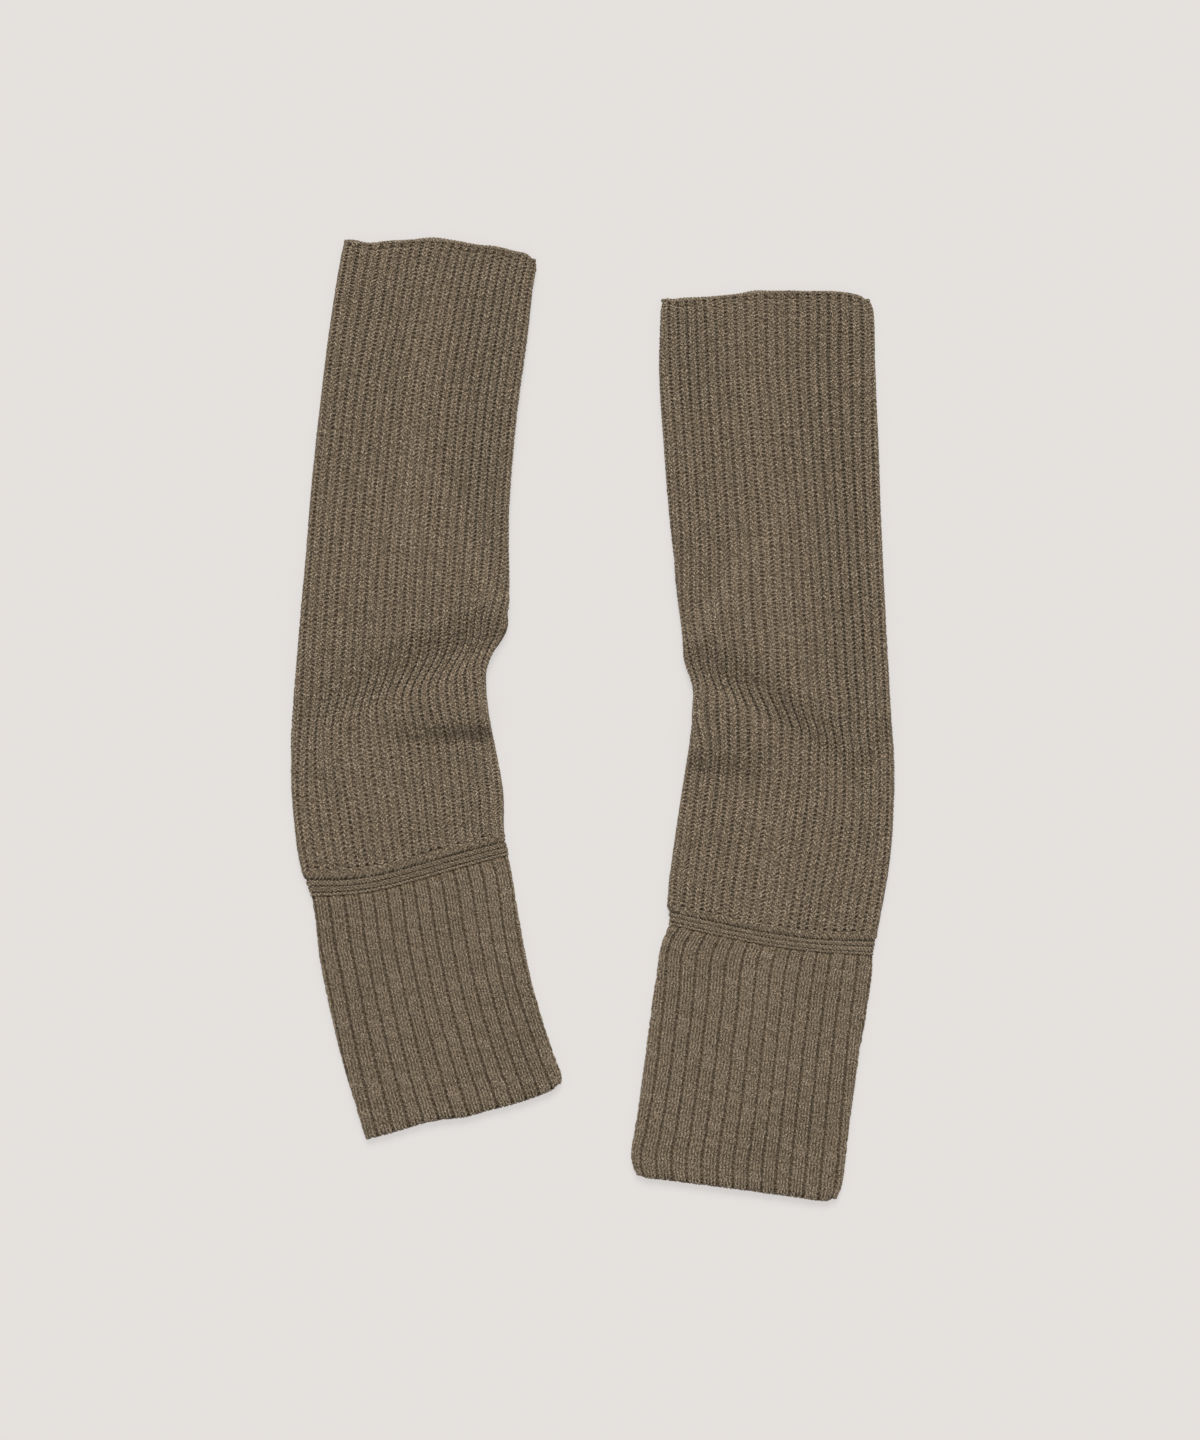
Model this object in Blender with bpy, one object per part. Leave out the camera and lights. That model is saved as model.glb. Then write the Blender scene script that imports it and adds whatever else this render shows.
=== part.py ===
"""A pair of ribbed wool leg warmers, laid flat beside each other.

Each leg warmer is one knitted tube, pressed flat, in four stretches that follow one another:
a bound-off rim, a leg in cardigan rib, a band of garter ridges and a cuff in wide rib.
Every stretch is a closed wall with the tube's slit through it. The underside is flat at z = 0.

The frame is +X to the right, +Y towards the rims, +Z up. Tables and sizes are in millimetres.
"""

import math
from collections import namedtuple

import bmesh
import bpy

MM = 0.001

# The wall, from the ground up.
UNDER_WALL = 2.4  # the layer that lies on the ground
SLIT = 0.4  # the tube's hollow, pressed flat
LEAST_SLIT = 0.3  # what is left of it under a trough
LOFT = 0.3  # how much further the layers part in the middle of the tube
SEAM_GAP = 0.3  # between two stretches

# The two folded sides.
FOLD_REACH = 2.6  # from the outermost point in to where the top and the underside begin
SLIT_INSET = 4.8  # from the outermost point in to the slit's end
RIB_MARGIN = 0.026  # no rib's edge lies nearer a side than this share of the width
SWAY_MARGIN = 0.12  # ribs sway less and less within this share of a side
FOLD_STEPS = 5
UNDERSIDE_STEPS = 8
SLIT_STEPS = 10

# A rib runs up to its flat top and down again within these shares of its pitch.
RIB_RISES_AT = 0.22
RIB_FALLS_AT = 0.78

# start and end are places in the course table, upper_wall is the cloth between two ribs,
# relief is how far ribs or ridges stand up.
Stretch = namedtuple("Stretch", "name start end upper_wall relief")
STRETCHES = (
    Stretch("rim", "rim_top", "rim_end", 2.2, 0.0),
    Stretch("leg", "rim_end", "leg_end", 2.2, 1.1),
    Stretch("band", "leg_end", "band_end", 2.0, 1.0),
    Stretch("cuff", "band_end", "cuff_end", 1.9, 0.8),
)
RIM_LIP = 1.2  # the length over which the rim rounds off
CUFF_LIP = 1.4
LIP_DROP = 0.7  # how much lower the wall is at a lip's end
BAND_RIDGES = (0.42, 0.29, 0.29)  # each garter ridge's share of the band's length
BAND_STEPS = 24

# The pitch of a stretch's ribs and its first groove, as shares of the width.
Ribs = namedtuple("Ribs", "pitch first")
LEFT_RIBS = {"leg": Ribs(0.0471, 0.0240), "cuff": Ribs(0.0698, 0.0142)}
RIGHT_RIBS = {"leg": Ribs(0.0469, 0.0410), "cuff": Ribs(0.0684, 0.0505)}

# A course is a row of stitches across the flattened tube, from its left fold to its right fold.
# bow is how far its middle lies nearer the rim, bow_at is where along it that is greatest,
# steps is the number of sections from this course to the next.
Course = namedtuple("Course", "name left_x left_y right_x right_y bow bow_at steps")
LEFT_COURSES = (
    Course("rim_top", -148.5, 289.0, -32.7, 276.2, 6.8, 0.66, 1),
    Course("rim_end", -149.4, 284.7, -33.9, 271.7, 6.3, 0.66, 2),
    Course("upper", -156.6, 241.8, -40.2, 224.4, 3.0, 0.60, 2),
    Course("calf", -163.0, 191.4, -46.2, 176.0, 1.0, 0.50, 2),
    Course("middle", -168.3, 141.6, -49.8, 131.0, 0.0, 0.50, 2),
    Course("lower", -172.2, 93.6, -50.4, 87.6, 0.0, 0.50, 2),
    Course("over_fold", -175.8, 54.6, -50.7, 52.2, 0.0, 0.50, 4),
    Course("fold", -178.8, 18.6, -51.6, 18.6, 0.0, 0.50, 4),
    Course("under_fold", -180.9, -16.2, -52.5, -12.6, -1.5, 0.45, 2),
    Course("ankle", -179.2, -51.0, -53.1, -40.2, -3.0, 0.40, 2),
    Course("leg_end", -174.3, -88.2, -53.4, -67.2, -6.0, 0.34, 1),
    Course("band_end", -168.9, -105.0, -50.7, -80.4, -4.8, 0.33, 2),
    Course("cuff_upper", -163.5, -143.4, -44.2, -119.4, -2.5, 0.40, 2),
    Course("cuff_middle", -155.6, -181.8, -36.8, -156.6, -1.5, 0.50, 2),
    Course("cuff_lower", -146.6, -216.6, -27.4, -189.0, -1.5, 0.60, 2),
    Course("cuff_end", -135.9, -251.4, -16.5, -218.4, -3.0, 0.72, 0),
)
RIGHT_COURSES = (
    Course("rim_top", 41.1, 252.0, 167.6, 253.5, 5.2, 0.57, 1),
    Course("rim_end", 41.0, 247.5, 168.1, 249.0, 4.9, 0.57, 2),
    Course("upper", 40.5, 209.4, 169.3, 213.0, 2.0, 0.55, 2),
    Course("calf", 43.3, 165.6, 171.1, 169.8, 1.0, 0.50, 2),
    Course("middle", 46.8, 120.6, 172.7, 125.4, 0.0, 0.50, 2),
    Course("lower", 50.9, 78.6, 174.6, 82.2, 0.0, 0.50, 2),
    Course("over_fold", 54.9, 42.6, 176.7, 42.6, 0.0, 0.50, 4),
    Course("fold", 53.1, 9.6, 178.7, 8.4, 0.0, 0.50, 4),
    Course("under_fold", 51.1, -23.4, 180.9, -27.0, -1.0, 0.50, 2),
    Course("ankle", 50.2, -65.4, 178.8, -74.4, -2.5, 0.55, 2),
    Course("leg_end", 45.6, -109.8, 170.7, -126.3, -4.8, 0.60, 1),
    Course("band_end", 46.2, -122.1, 168.0, -140.4, -3.6, 0.55, 1),
    Course("cuff_top", 42.4, -131.4, 167.8, -148.6, -3.0, 0.55, 1),
    Course("cuff_upper", 38.2, -156.0, 164.6, -172.8, -2.0, 0.50, 2),
    Course("cuff_middle", 31.4, -202.2, 157.9, -214.8, 0.0, 0.50, 2),
    Course("cuff_lower", 25.8, -244.2, 152.8, -253.2, 0.0, 0.50, 1),
    Course("cuff_last", 23.4, -262.0, 150.4, -274.2, 0.3, 0.50, 1),
    Course("cuff_end", 25.4, -273.6, 147.8, -289.6, 0.5, 0.40, 0),
)

# Ribs sway from an even spacing: to the right, at five places across, at a distance s from the rim.
Sway = namedtuple("Sway", "s left half_left middle half_right right")
LEFT_SWAYS = (
    Sway(0, 0.0, 4.5, 7.5, 5.5, 3.0),
    Sway(40, 0.0, 4.5, 4.0, 3.5, 1.0),
    Sway(80, 0.0, 2.0, 2.0, 2.0, 0.0),
    Sway(140, 0.0, 1.5, 2.0, 2.0, 0.0),
    Sway(200, 0.0, 0.5, 0.5, 0.0, -2.5),
    Sway(232, 0.5, 1.0, 0.5, -1.5, -8.0),
    Sway(262, 1.5, 1.0, -2.0, -2.5, -2.0),
    Sway(296, 2.5, 0.5, 2.5, 2.0, -2.5),
    Sway(325, 0.0, 2.0, 3.0, 0.0, -4.0),
    Sway(362, 0.5, 1.5, 1.0, -1.0, -3.5),
    Sway(382, -1.5, 0.5, 0.5, 0.5, -1.0),
    Sway(430, 0.0, 1.0, 1.0, 1.0, -1.5),
    Sway(480, -2.0, 0.5, 1.5, 1.5, 0.0),
    Sway(524, -5.0, -1.0, 0.5, 2.0, 1.0),
)
RIGHT_SWAYS = (
    Sway(0, -0.5, -3.0, -2.0, 0.0, 2.0),
    Sway(40, 1.0, -1.0, -1.5, -1.0, 2.0),
    Sway(80, 1.5, -1.0, -0.5, -1.0, 0.0),
    Sway(140, 0.5, -1.0, 1.0, 0.0, -0.5),
    Sway(200, -3.5, -4.0, -0.5, 0.0, -0.5),
    Sway(224, -1.0, -2.5, -0.5, 0.0, -0.5),
    Sway(246, -4.0, -3.0, 1.5, 1.5, -1.0),
    Sway(272, 1.5, -2.0, -0.5, -1.5, -1.0),
    Sway(308, 3.0, 1.0, 0.0, -1.0, -1.0),
    Sway(350, 4.0, 3.0, 4.0, 1.0, 0.0),
    Sway(371, 4.0, 2.5, 3.5, 1.0, 0.0),
    Sway(390, -1.5, -1.5, 0.0, -1.0, -1.5),
    Sway(430, -0.5, -0.5, 0.5, -1.0, -1.5),
    Sway(470, 1.0, 0.5, 2.0, 0.5, 1.0),
    Sway(537, -2.5, -0.5, 2.0, 2.0, 4.0),
)

# A slip is where the ribs step sideways below a diagonal fold, which also notches the outline.
# It runs from the notch to the far side, and start, middle and end are the step along it.
# The step comes in over rise, stays for hold and has gone after start_fade to end_fade.
Slip = namedtuple(
    "Slip", "from_x from_y to_x to_y start middle end rise hold start_fade end_fade"
)
LEFT_SLIP = Slip(-52.5, 44.4, -180.0, -2.0, -13.0, -7.8, 0.0, 30.0, 17.0, 100.0, 125.0)
RIGHT_SLIP = Slip(52.0, 29.4, 178.0, -22.0, 7.2, 8.0, 0.0, 26.0, 32.0, 107.0, 100.0)

# A crease lifts the upper layer along a line, and a negative lift presses it down.
Crease = namedtuple("Crease", "from_x from_y to_x to_y lift half_width")
LEFT_CREASES = (
    Crease(-64.0, 26.0, -132.0, 0.0, 3.0, 10.0),  # the ridge under the diagonal fold
    Crease(-72.0, 50.0, -118.0, 30.0, -1.3, 9.0),  # the trough over it
    Crease(-62.0, 4.0, -92.0, 0.5, 2.0, 6.0),  # a short fold below the notch
    Crease(-63.0, -10.5, -98.0, -12.5, -1.2, 7.0),
    Crease(-150.0, -30.0, -100.0, -62.0, 0.8, 14.0),  # fullness over the band
)
RIGHT_CREASES = (
    Crease(64.0, 18.0, 114.0, -14.0, 2.6, 9.5),  # the ridge under the diagonal fold
    Crease(63.0, 40.0, 116.0, 2.0, -1.3, 8.0),  # the trough over it
    Crease(92.0, 44.0, 140.0, 6.0, 1.3, 10.0),
    Crease(62.0, -14.0, 98.0, -28.0, -0.8, 6.0),
    Crease(90.0, -62.0, 145.0, -82.0, 0.8, 14.0),  # fullness over the band
)

WOOL = (0.165, 0.122, 0.078, 1.0)
ROUGHNESS = 0.95


def smooth(value):
    """0 below 0, 1 above 1, and an even S between them."""
    value = min(max(value, 0.0), 1.0)
    return value * value * (3.0 - 2.0 * value)


class Curves:
    """A smooth curve through each of a table's columns."""

    def __init__(self, places, rows):
        self.places = list(places)
        self.rows = [list(row) for row in rows]
        self.gaps = [b - a for a, b in zip(self.places, self.places[1:])]
        self.slopes = [self._slopes(column) for column in zip(*self.rows)]

    def _slopes(self, values):
        """The slope of a column's curve at each row."""
        rates = [(b - a) / gap for a, b, gap in zip(values, values[1:], self.gaps)]
        slopes = [rates[0]]
        for i in range(1, len(rates)):
            before, after = self.gaps[i - 1], self.gaps[i]
            slopes.append((rates[i - 1] * after + rates[i] * before) / (before + after))
        return slopes + [rates[-1]]

    def at(self, place):
        """The value of every column at a place."""
        last = len(self.gaps) - 1
        i = max(k for k in range(last + 1) if k == 0 or self.places[k] <= place)
        gap = self.gaps[i]
        t = (place - self.places[i]) / gap
        found = []
        for column, (a, b) in enumerate(zip(self.rows[i], self.rows[i + 1])):
            slope_a, slope_b = self.slopes[column][i], self.slopes[column][i + 1]
            found.append(
                a * (1 + 2 * t) * (1 - t) ** 2
                + b * t * t * (3 - 2 * t)
                + gap * (slope_a * t * (1 - t) ** 2 - slope_b * t * t * (1 - t))
            )
        return found


class Tube:
    """One flattened leg warmer: where a point of its courses lies, and how high its upper layer is."""

    def __init__(self, courses, ribs, sways, slip, creases):
        self.courses = courses
        self.ribs = ribs
        self.slip = slip
        self.creases = creases
        self.along = [0.0]
        for a, b in zip(courses, courses[1:]):
            left = math.hypot(b.left_x - a.left_x, b.left_y - a.left_y)
            right = math.hypot(b.right_x - a.right_x, b.right_y - a.right_y)
            self.along.append(self.along[-1] + (left + right) / 2)
        self.place = {c.name: s for c, s in zip(courses, self.along)}
        self.course = Curves(self.along, [c[1:7] for c in courses])
        self.sways = Curves([sway.s for sway in sways], [sway[1:] for sway in sways])

    def width(self, s):
        left_x, left_y, right_x, right_y, _, _ = self.course.at(s)
        return math.hypot(right_x - left_x, right_y - left_y)

    def sway(self, u, s):
        """How far the ribs stand to the right of their even spacing. The folded sides don't."""
        across = self.sways.at(s)
        spot = min(max(u, 0.0), 1.0) * (len(across) - 1)
        i = min(int(spot), len(across) - 2)
        value = across[i] + (across[i + 1] - across[i]) * smooth(spot - i)
        return value * smooth(min(u, 1 - u) / SWAY_MARGIN)

    def step_aside(self, x, y):
        """How far the slip moves a point sideways."""
        slip = self.slip
        q = min(max((x - slip.from_x) / (slip.to_x - slip.from_x), 0.0), 1.0)
        size = (
            slip.start * (1 - q) * (1 - 2 * q)
            + slip.middle * 4 * q * (1 - q)
            + slip.end * q * (2 * q - 1)
        )
        below = slip.from_y + (slip.to_y - slip.from_y) * q - y
        fade = slip.start_fade + (slip.end_fade - slip.start_fade) * q
        comes = smooth(below / slip.rise + 0.5)
        goes = smooth((below - slip.hold) / (fade - slip.hold))
        return size * comes * (1 - goes)

    def point(self, u, s):
        """The place over the ground at the share u of the course at s."""
        left_x, left_y, right_x, right_y, bow, bow_at = self.course.at(s)
        across_x, across_y = right_x - left_x, right_y - left_y
        length = math.hypot(across_x, across_y)
        wave = math.sin(math.pi * min(max(u, 0.0), 1.0))
        bow *= math.sin(math.pi * (u + (0.5 - bow_at) * wave / math.sin(math.pi * bow_at)))
        u += self.sway(u, s) / length
        x = left_x + across_x * u - bow * across_y / length
        y = left_y + across_y * u + bow * across_x / length
        return x + self.step_aside(x, y), y

    def creased(self, x, y):
        """The sum of all the creases' lifts at a place."""
        total = 0.0
        for crease in self.creases:
            run_x, run_y = crease.to_x - crease.from_x, crease.to_y - crease.from_y
            t = (x - crease.from_x) * run_x + (y - crease.from_y) * run_y
            t = min(max(t / (run_x * run_x + run_y * run_y), 0.0), 1.0)
            away = math.hypot(x - crease.from_x - t * run_x, y - crease.from_y - t * run_y)
            total += crease.lift * math.exp(-((away / crease.half_width) ** 2))
        return total

    def ceiling(self, u, s):
        """The height of the upper layer's plain inner side."""
        x, y = self.point(u, s)
        opened = SLIT + LOFT * math.sin(math.pi * u) + self.creased(x, y)
        return UNDER_WALL + max(opened, LEAST_SLIT)


def rib_points(ribs, fold):
    """The share across and the height share of each point over a front of ribs."""
    points = [(fold, 0.5)]
    groove = ribs.first - ribs.pitch
    while groove < 1:
        for part, height in ((0.0, 0.0), (RIB_RISES_AT, 1.0), (RIB_FALLS_AT, 1.0)):
            u = groove + part * ribs.pitch
            if RIB_MARGIN < u < 1 - RIB_MARGIN:
                points.append((u, height))
        groove += ribs.pitch
    points.append((1 - fold, 0.5))
    return points


def plain_points(steps, fold):
    """Even points over a front without ribs."""
    return [(fold + (1 - 2 * fold) * k / steps, 1.0) for k in range(steps + 1)]


def outer_ring(tube, stretch, s, relief, drop):
    """The section's outer points as (key, u, z), from the underside's left end round to it again.

    A key grows by 1 along each of the underside, the right fold, the top and the left fold.
    """
    fold = FOLD_REACH / tube.width(s)
    if stretch.name in tube.ribs:
        top = rib_points(tube.ribs[stretch.name], fold)
    else:
        top = plain_points(BAND_STEPS, fold)

    def height(u, share):
        return tube.ceiling(u, s) + stretch.upper_wall + relief * share - drop

    def side(u_end, share, key, outwards, upwards):
        tall = height(u_end, share)
        points = []
        for k in range(1, FOLD_STEPS):
            part = k / FOLD_STEPS
            turn = math.pi * (part if upwards else 1 - part)
            u = u_end + outwards * fold * math.sin(turn)
            points.append((key + part, u, tall / 2 * (1 - math.cos(turn))))
        return points

    ring = []
    for k in range(UNDERSIDE_STEPS + 1):
        t = k / UNDERSIDE_STEPS
        ring.append((t, fold + (1 - 2 * fold) * t, 0.0))
    ring += side(1 - fold, top[-1][1], 1, 1, upwards=True)
    for u, share in reversed(top):
        ring.append((2 + (1 - fold - u) / (1 - 2 * fold), u, height(u, share)))
    ring += side(fold, top[0][1], 3, -1, upwards=False)
    return ring


def slit_ring(tube, s):
    """The slit's points in the same order and with the same keys."""
    inset = SLIT_INSET / tube.width(s)
    ring = []
    for k in range(SLIT_STEPS + 1):
        t = k / SLIT_STEPS
        ring.append((t, inset + (1 - 2 * inset) * t, UNDER_WALL))
    for k in range(SLIT_STEPS + 1):
        t = k / SLIT_STEPS
        u = 1 - inset - (1 - 2 * inset) * t
        ring.append((2 + t, u, tube.ceiling(u, s)))
    return ring


def add_ring(mesh, tube, s, ring):
    verts = []
    for _, u, z in ring:
        x, y = tube.point(u, s)
        verts.append(mesh.verts.new((x * MM, y * MM, z * MM)))
    return verts


def skin(mesh, rings, inwards):
    """Joins each ring to the next. The rings run towards the cuff."""
    for a, b in zip(rings, rings[1:]):
        for i in range(len(a)):
            j = (i + 1) % len(a)
            face = (a[i], b[i], b[j], a[j])
            mesh.faces.new(face if inwards else tuple(reversed(face)))


def close_end(mesh, outer, outer_keys, inner, inner_keys, at_rim):
    """Fills the wall's end between its outer ring and the slit's, in order of their keys."""
    i = j = 0
    while i < len(outer) or j < len(inner):
        next_outer = outer_keys[i + 1] if i + 1 < len(outer) else 4.0
        next_inner = inner_keys[j + 1] if j + 1 < len(inner) else 4.0
        a, b = outer[i % len(outer)], inner[j % len(inner)]
        if i < len(outer) and (next_outer <= next_inner or j >= len(inner)):
            face = (a, outer[(i + 1) % len(outer)], b)
            i += 1
        else:
            face = (a, inner[(j + 1) % len(inner)], b)
            j += 1
        mesh.faces.new(tuple(reversed(face)) if at_rim else face)


def plan_sections(tube, stretch):
    """The sections of a stretch as (s, relief, drop), from its rim end to its cuff end."""
    start = tube.place[stretch.start]
    end = tube.place[stretch.end]
    first = start if stretch.name == "rim" else start + SEAM_GAP / 2
    last = end if stretch.name == "cuff" else end - SEAM_GAP / 2
    if stretch.name == "rim":
        return [
            (first, 0.0, LIP_DROP),
            (first + RIM_LIP / 3, 0.0, LIP_DROP / 3),
            (first + RIM_LIP, 0.0, 0.0),
            (last, 0.0, 0.0),
        ]
    if stretch.name == "band":
        sections = [(first, 0.0, 0.0)]
        here = start
        for share in BAND_RIDGES:
            long = share * (end - start)
            sections += [
                (here + RIB_RISES_AT * long, stretch.relief, 0.0),
                (here + RIB_FALLS_AT * long, stretch.relief, 0.0),
                (here + long, 0.0, 0.0),
            ]
            here += long
        sections[-1] = (last, 0.0, 0.0)
        return sections
    places = [first]
    for course, s, after in zip(tube.courses, tube.along, tube.along[1:]):
        if start <= s < end:
            places += [s + (after - s) * (k + 1) / course.steps for k in range(course.steps)]
    places[-1] = last
    sections = [(s, stretch.relief, 0.0) for s in places]
    if stretch.name == "cuff":
        sections[-1] = (last - CUFF_LIP, stretch.relief, 0.0)
        sections.append((last - CUFF_LIP / 3, stretch.relief * 0.7, LIP_DROP / 3))
        sections.append((last, 0.0, LIP_DROP))
    return sections


def knit_stretch(tube, stretch, side, wool):
    """Makes one stretch of a leg warmer as an object of its own."""
    mesh = bmesh.new()
    outers, slits, outer_keys, slit_keys = [], [], [], []
    for s, relief, drop in plan_sections(tube, stretch):
        outer = outer_ring(tube, stretch, s, relief, drop)
        slit = slit_ring(tube, s)
        outers.append(add_ring(mesh, tube, s, outer))
        slits.append(add_ring(mesh, tube, s, slit))
        outer_keys.append([key for key, _, _ in outer])
        slit_keys.append([key for key, _, _ in slit])
    skin(mesh, outers, inwards=False)
    skin(mesh, slits, inwards=True)
    close_end(mesh, outers[0], outer_keys[0], slits[0], slit_keys[0], at_rim=True)
    close_end(mesh, outers[-1], outer_keys[-1], slits[-1], slit_keys[-1], at_rim=False)
    name = f"{side}_{stretch.name}"
    data = bpy.data.meshes.new(name)
    mesh.to_mesh(data)
    mesh.free()
    data.materials.append(wool)
    data.shade_smooth()
    data.set_sharp_from_angle(angle=math.radians(40))
    bpy.context.scene.collection.objects.link(bpy.data.objects.new(name, data))


def make_wool():
    wool = bpy.data.materials.new("wool")
    wool.use_nodes = True
    shader = wool.node_tree.nodes["Principled BSDF"]
    shader.inputs["Base Color"].default_value = WOOL
    shader.inputs["Roughness"].default_value = ROUGHNESS
    shader.inputs["Metallic"].default_value = 0.0
    return wool


def main():
    for old in list(bpy.data.objects):
        bpy.data.objects.remove(old)
    wool = make_wool()
    tubes = {
        "left": Tube(LEFT_COURSES, LEFT_RIBS, LEFT_SWAYS, LEFT_SLIP, LEFT_CREASES),
        "right": Tube(RIGHT_COURSES, RIGHT_RIBS, RIGHT_SWAYS, RIGHT_SLIP, RIGHT_CREASES),
    }
    for side, tube in tubes.items():
        for stretch in STRETCHES:
            knit_stretch(tube, stretch, side, wool)


main()
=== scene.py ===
"""A pair of ribbed wool leg warmers laid flat, dressed with real stitches over the CAD frame.

Every stretch is a cloth shell that replaces its CAD solid, with knitted courses of yarn on it.
Sizes and tables are in millimetres, as in the CAD, and the meshes are in metres.
"""

import math
from collections import namedtuple

import bmesh
import bpy
import numpy as np
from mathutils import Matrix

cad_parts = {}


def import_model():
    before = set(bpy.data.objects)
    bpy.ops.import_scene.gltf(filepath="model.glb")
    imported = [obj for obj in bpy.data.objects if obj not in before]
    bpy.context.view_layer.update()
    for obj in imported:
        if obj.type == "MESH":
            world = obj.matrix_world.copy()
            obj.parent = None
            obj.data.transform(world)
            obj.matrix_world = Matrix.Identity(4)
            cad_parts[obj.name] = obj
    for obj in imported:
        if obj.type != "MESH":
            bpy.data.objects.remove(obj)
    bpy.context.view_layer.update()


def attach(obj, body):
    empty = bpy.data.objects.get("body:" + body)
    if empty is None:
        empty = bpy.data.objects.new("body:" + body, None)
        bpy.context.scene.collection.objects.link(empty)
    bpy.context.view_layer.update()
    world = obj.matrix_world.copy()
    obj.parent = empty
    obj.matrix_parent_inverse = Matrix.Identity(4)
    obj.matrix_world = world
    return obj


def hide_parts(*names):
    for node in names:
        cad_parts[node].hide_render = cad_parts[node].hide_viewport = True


MM = 0.001

# --- The wall and the outline, as in the CAD ---

UNDER_WALL = 2.4
SLIT = 0.4
LEAST_SLIT = 0.3
LOFT = 0.3
SEAM = 0.04  # between two stretches, narrower than in the CAD, where it would show as a line
FOLD_REACH = 2.6
SLIT_INSET = 4.8
RIM_LIP, CUFF_LIP, LIP_DROP = 1.2, 1.4, 0.7
REST = 0.05  # the least height of anything over the ground
# Round a folded side the relief sinks in: from and over these shares of the way, and so deep.
TUCK_FROM, TUCK_OVER, TUCK_DEPTH = 0.45, 0.4, 0.8
# What lies lower than this over the plain cloth is a groove, and no more of it than this can go.
GROOVE_TOP, GROOVE_DEPTH = 0.3, 1.2
# The underside's relief: the height that touches the ground, the share of the depth under it
# that is kept, and the most depth.
UNDER_TOUCH, UNDER_KEPT, UNDER_DEEPEST = 0.9, 0.38, 1.5
# The shells' columns over the top, the underside and each wall of the slit, the gap between rings,
# the band's rings, and how far the shells end from the rim's top and the cuff's foot.
TOP_COLUMNS, UNDER_COLUMNS, SLIT_COLUMNS = 188, 102, 31
RING_GAP, BAND_RINGS, END_GAP = 4, 24, 0.4

# depth is how far the shell lies under the CAD's plain surface, to leave room for the yarn.
# arms is how many arms of a stitch a rib has, first_arm where the first begins and stray how
# uneven the stitches are.
Stretch = namedtuple("Stretch", "name start end upper_wall depth arms first_arm stray")
STRETCHES = (
    Stretch("rim", "rim_top", "rim_end", 2.2, 0.7, 2, 0, 1),
    Stretch("leg", "rim_end", "leg_end", 2.2, 0.7, 2, 0, 1),
    Stretch("band", "leg_end", "band_end", 2, 0.5, 2, 0, 1),
    Stretch("cuff", "band_end", "cuff_end", 1.9, 0.6, 4.88, 0.355, 1.8),
)

Ribs = namedtuple("Ribs", "pitch first")
LEFT_RIBS = {"leg": Ribs(0.0471, 0.024), "cuff": Ribs(0.0698, 0.0142)}
RIGHT_RIBS = {"leg": Ribs(0.0469, 0.041), "cuff": Ribs(0.0684, 0.0505)}

Course = namedtuple("Course", "name left_x left_y right_x right_y bow bow_at")
LEFT_COURSES = (
    Course("rim_top", -148.5, 289, -32.7, 276.2, 6.8, 0.66),
    Course("rim_end", -149.4, 284.7, -33.9, 271.7, 6.3, 0.66),
    Course("upper", -156.6, 241.8, -40.2, 224.4, 3, 0.6),
    Course("calf", -163, 191.4, -46.2, 176, 1, 0.5),
    Course("middle", -168.3, 141.6, -49.8, 131, 0, 0.5),
    Course("lower", -172.2, 93.6, -50.4, 87.6, 0, 0.5),
    Course("over_fold", -175.8, 54.6, -50.7, 52.2, 0, 0.5),
    Course("fold", -178.8, 18.6, -51.6, 18.6, 0, 0.5),
    Course("under_fold", -180.9, -16.2, -52.5, -12.6, -1.5, 0.45),
    Course("ankle", -179.2, -51, -53.1, -40.2, -3, 0.4),
    Course("leg_end", -174.3, -88.2, -53.4, -67.2, -6, 0.34),
    Course("band_end", -168.9, -105, -50.7, -80.4, -4.8, 0.33),
    Course("cuff_upper", -163.5, -143.4, -44.2, -119.4, -2.5, 0.4),
    Course("cuff_middle", -155.6, -181.8, -36.8, -156.6, -1.5, 0.5),
    Course("cuff_lower", -146.6, -216.6, -27.4, -189, -1.5, 0.6),
    Course("cuff_end", -135.9, -251.4, -16.5, -218.4, -3, 0.72),
)
RIGHT_COURSES = (
    Course("rim_top", 41.1, 252, 167.6, 253.5, 5.2, 0.57),
    Course("rim_end", 41, 247.5, 168.1, 249, 4.9, 0.57),
    Course("upper", 40.5, 209.4, 169.3, 213, 2, 0.55),
    Course("calf", 43.3, 165.6, 171.1, 169.8, 1, 0.5),
    Course("middle", 46.8, 120.6, 172.7, 125.4, 0, 0.5),
    Course("lower", 50.9, 78.6, 174.6, 82.2, 0, 0.5),
    Course("over_fold", 54.9, 42.6, 176.7, 42.6, 0, 0.5),
    Course("fold", 53.1, 9.6, 178.7, 8.4, 0, 0.5),
    Course("under_fold", 51.1, -23.4, 180.9, -27, -1, 0.5),
    Course("ankle", 50.2, -65.4, 178.8, -74.4, -2.5, 0.55),
    Course("leg_end", 45.6, -109.8, 170.7, -126.3, -4.8, 0.6),
    Course("band_end", 46.2, -122.1, 168, -140.4, -3.6, 0.55),
    Course("cuff_top", 42.4, -131.4, 167.8, -148.6, -3, 0.55),
    Course("cuff_upper", 38.2, -156, 164.6, -172.8, -2, 0.5),
    Course("cuff_middle", 31.4, -202.2, 157.9, -214.8, 0, 0.5),
    Course("cuff_lower", 25.8, -244.2, 152.8, -253.2, 0, 0.5),
    Course("cuff_last", 23.4, -262, 150.4, -274.2, 0.3, 0.5),
    Course("cuff_end", 25.4, -273.6, 147.8, -289.6, 0.5, 0.4),
)

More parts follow.
